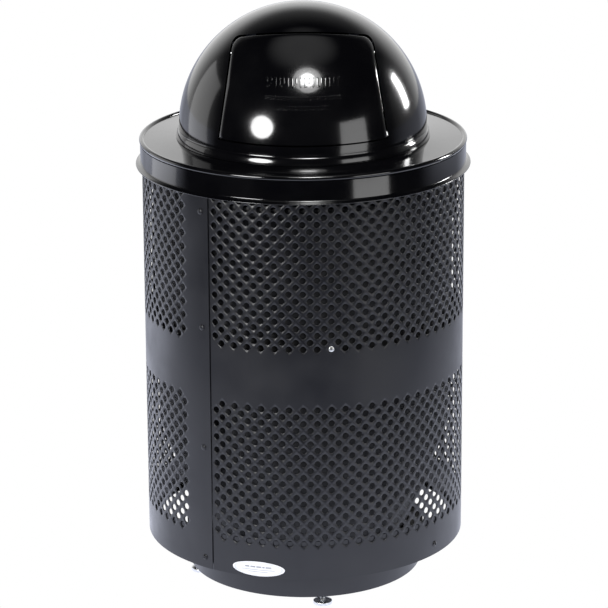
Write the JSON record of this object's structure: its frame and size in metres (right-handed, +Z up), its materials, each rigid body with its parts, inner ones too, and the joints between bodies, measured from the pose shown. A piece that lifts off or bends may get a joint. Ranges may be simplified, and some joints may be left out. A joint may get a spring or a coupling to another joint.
{
  "type": "litter bin",
  "caption": "Round free-standing outdoor litter bin: perforated steel drum on a plinth, lift-off lid with a self-closing push door in its dome, liner inside.",
  "frame": {"origin": "on the ground, under the centre of the drum", "axes": "+Z up, the push door faces -Y, +X is to the right of someone facing the door"},
  "size_m": [0.593, 0.593, 1.0509],
  "materials": {
    "drum_black": "satin black powder coat with a fine orange peel",
    "lid_black": "gloss black powder coat",
    "zinc_plated": "zinc plated, dull silver",
    "spring_steel": "drawn spring wire",
    "liner_plastic": "black rotomoulded plastic",
    "label_white": "white printed label film"
  },
  "bodies": {
    "body": {"shell": "drum_black", "rim_ring": "drum_black", "base_pan": "drum_black", "plinth": "drum_black", "foot_ring": "drum_black", "seam_rivet_top": "drum_black", "seam_rivet_middle": "drum_black", "seam_rivet_lower": "drum_black", "base_screw_1": "zinc_plated", "base_screw_2": "zinc_plated", "base_screw_3": "zinc_plated", "base_screw_4": "zinc_plated", "band_rivet": "zinc_plated", "label_plate": "label_white", "foot_nut_1": "zinc_plated", "foot_nut_2": "zinc_plated", "foot_nut_3": "zinc_plated", "foot_nut_4": "zinc_plated"},
    "foot_1": {"levelling_foot_1": "zinc_plated"},
    "foot_2": {"levelling_foot_2": "zinc_plated"},
    "foot_3": {"levelling_foot_3": "zinc_plated"},
    "foot_4": {"levelling_foot_4": "zinc_plated"},
    "liner": {"liner": "liner_plastic"},
    "lid": {"lid_plate": "lid_black", "lid_skirt": "lid_black", "dome": "lid_black", "hinge_rod": "zinc_plated", "hinge_bracket_left": "lid_black", "hinge_bracket_right": "lid_black", "door_spring_left": "spring_steel", "door_spring_right": "spring_steel", "door_stop_left": "lid_black", "door_stop_right": "lid_black"},
    "door": {"door": "lid_black"}
  },
  "joints": [
    {"name": "foot_1_thread", "type": "slide", "parent": "body", "child": "foot_1", "axis": [0, 0, 1], "range_m": [-0.01, 0.008]},
    {"name": "foot_2_thread", "type": "slide", "parent": "body", "child": "foot_2", "axis": [0, 0, 1], "range_m": [-0.01, 0.008]},
    {"name": "foot_3_thread", "type": "slide", "parent": "body", "child": "foot_3", "axis": [0, 0, 1], "range_m": [-0.01, 0.008]},
    {"name": "foot_4_thread", "type": "slide", "parent": "body", "child": "foot_4", "axis": [0, 0, 1], "range_m": [-0.01, 0.008]},
    {"name": "liner_lift", "type": "slide", "parent": "body", "child": "liner", "axis": [0, 0, 1], "range_m": [0, 0.75]},
    {"name": "lid_lift", "type": "slide", "parent": "liner", "child": "lid", "axis": [0, 0, 1], "range_m": [0, 0.3]},
    {"name": "door_swing", "type": "hinge", "parent": "lid", "child": "door", "pos_m": [0, -0.09029, 0.98196], "axis": [1, 0, 0], "range_deg": [0, 65], "stiffness_Nm_per_rad": 0.35, "springref_deg": -114.59}
  ]
}
